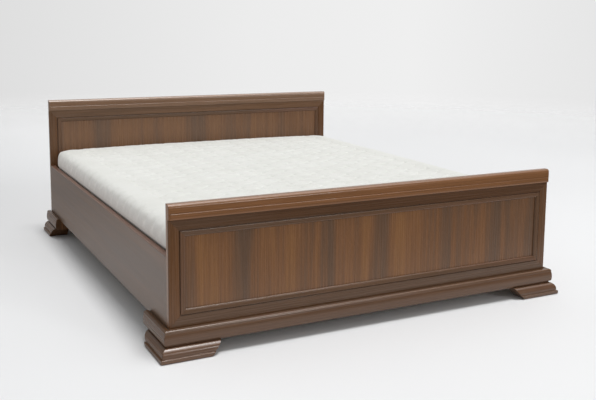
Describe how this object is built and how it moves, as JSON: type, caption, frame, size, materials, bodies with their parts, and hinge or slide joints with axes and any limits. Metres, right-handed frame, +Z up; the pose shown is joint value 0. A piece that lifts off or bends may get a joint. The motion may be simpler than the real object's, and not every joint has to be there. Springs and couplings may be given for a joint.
{
  "type": "double bed",
  "caption": "Panelled wooden double bed with moulded head and foot boards, bracket feet, slatted base and a quilted mattress that lifts out.",
  "frame": {"origin": "on the floor, under the middle of the bed's footprint", "axes": "+X to the right as seen from the foot, +Y from the footboard to the headboard, +Z up"},
  "size_m": [1.79, 2.113, 0.719],
  "materials": {
    "board_walnut": "satin lacquer on dark walnut veneer",
    "rail_walnut": "satin lacquer on grey-brown walnut",
    "pale_wood": "bare planed softwood",
    "zinc_steel": "bright zinc plating",
    "insert_brass": "turned brass",
    "glide_plastic": "matt black nylon",
    "webbing": "woven tape",
    "mattress_ticking": "quilted white knit ticking",
    "mattress_foam": "open-cell foam, standing for foam and springs",
    "mattress_piping": "woven zip tape"
  },
  "bodies": {
    "bed_frame": {"beam_hangers": "zinc_steel", "board_bolts": "zinc_steel", "bracket_screws": "zinc_steel", "centre_beam": "pale_wood", "corner_brackets": "zinc_steel", "foot_glides": "glide_plastic", "foot_screws": "zinc_steel", "footboard_bead_rails": "board_walnut", "footboard_bead_stiles": "board_walnut", "footboard_bottom_rail": "board_walnut", "footboard_cap": "board_walnut", "footboard_cap_dowels": "pale_wood", "footboard_core_board": "board_walnut", "footboard_left_corner_block": "pale_wood", "footboard_left_front_foot": "board_walnut", "footboard_left_plinth_return": "board_walnut", "footboard_left_side_foot": "board_walnut", "footboard_left_stile": "board_walnut", "footboard_plinth": "board_walnut", "footboard_right_corner_block": "pale_wood", "footboard_right_front_foot": "board_walnut", "footboard_right_plinth_return": "board_walnut", "footboard_right_side_foot": "board_walnut", "footboard_right_stile": "board_walnut", "footboard_top_rail": "board_walnut", "front_centre_leg": "pale_wood", "hanger_screws": "zinc_steel", "headboard_bead_rails": "board_walnut", "headboard_bead_stiles": "board_walnut", "headboard_bottom_rail": "board_walnut", "headboard_cap": "board_walnut", "headboard_cap_dowels": "pale_wood", "headboard_core_board": "board_walnut", "headboard_left_corner_block": "pale_wood", "headboard_left_plinth_return": "board_walnut", "headboard_left_side_foot": "board_walnut", "headboard_left_stile": "board_walnut", "headboard_right_corner_block": "pale_wood", "headboard_right_plinth_return": "board_walnut", "headboard_right_side_foot": "board_walnut", "headboard_right_stile": "board_walnut", "headboard_top_rail": "board_walnut", "ledger_screws": "zinc_steel", "left_side_rail": "rail_walnut", "left_slat_ledger": "pale_wood", "left_slats": "pale_wood", "leg_studs": "zinc_steel", "rear_centre_leg": "pale_wood", "right_side_rail": "rail_walnut", "right_slat_ledger": "pale_wood", "right_slats": "pale_wood", "slat_tapes": "webbing", "threaded_inserts": "insert_brass"},
    "mattress": {"mattress_base_cover": "mattress_ticking", "mattress_core": "mattress_foam", "mattress_top_cover": "mattress_ticking", "mattress_zip": "mattress_piping"},
    "front_levelling_foot": {"front_levelling_foot": "zinc_steel"},
    "rear_levelling_foot": {"rear_levelling_foot": "zinc_steel"}
  },
  "joints": [
    {"name": "mattress_lift", "type": "slide", "parent": "bed_frame", "child": "mattress", "axis": [0, 0, 1], "range_m": [0, 0.3]},
    {"name": "front_leg_level", "type": "slide", "parent": "bed_frame", "child": "front_levelling_foot", "axis": [0, 0, 1], "range_m": [0, 0.012]},
    {"name": "rear_leg_level", "type": "slide", "parent": "bed_frame", "child": "rear_levelling_foot", "axis": [0, 0, 1], "range_m": [0, 0.012]}
  ]
}
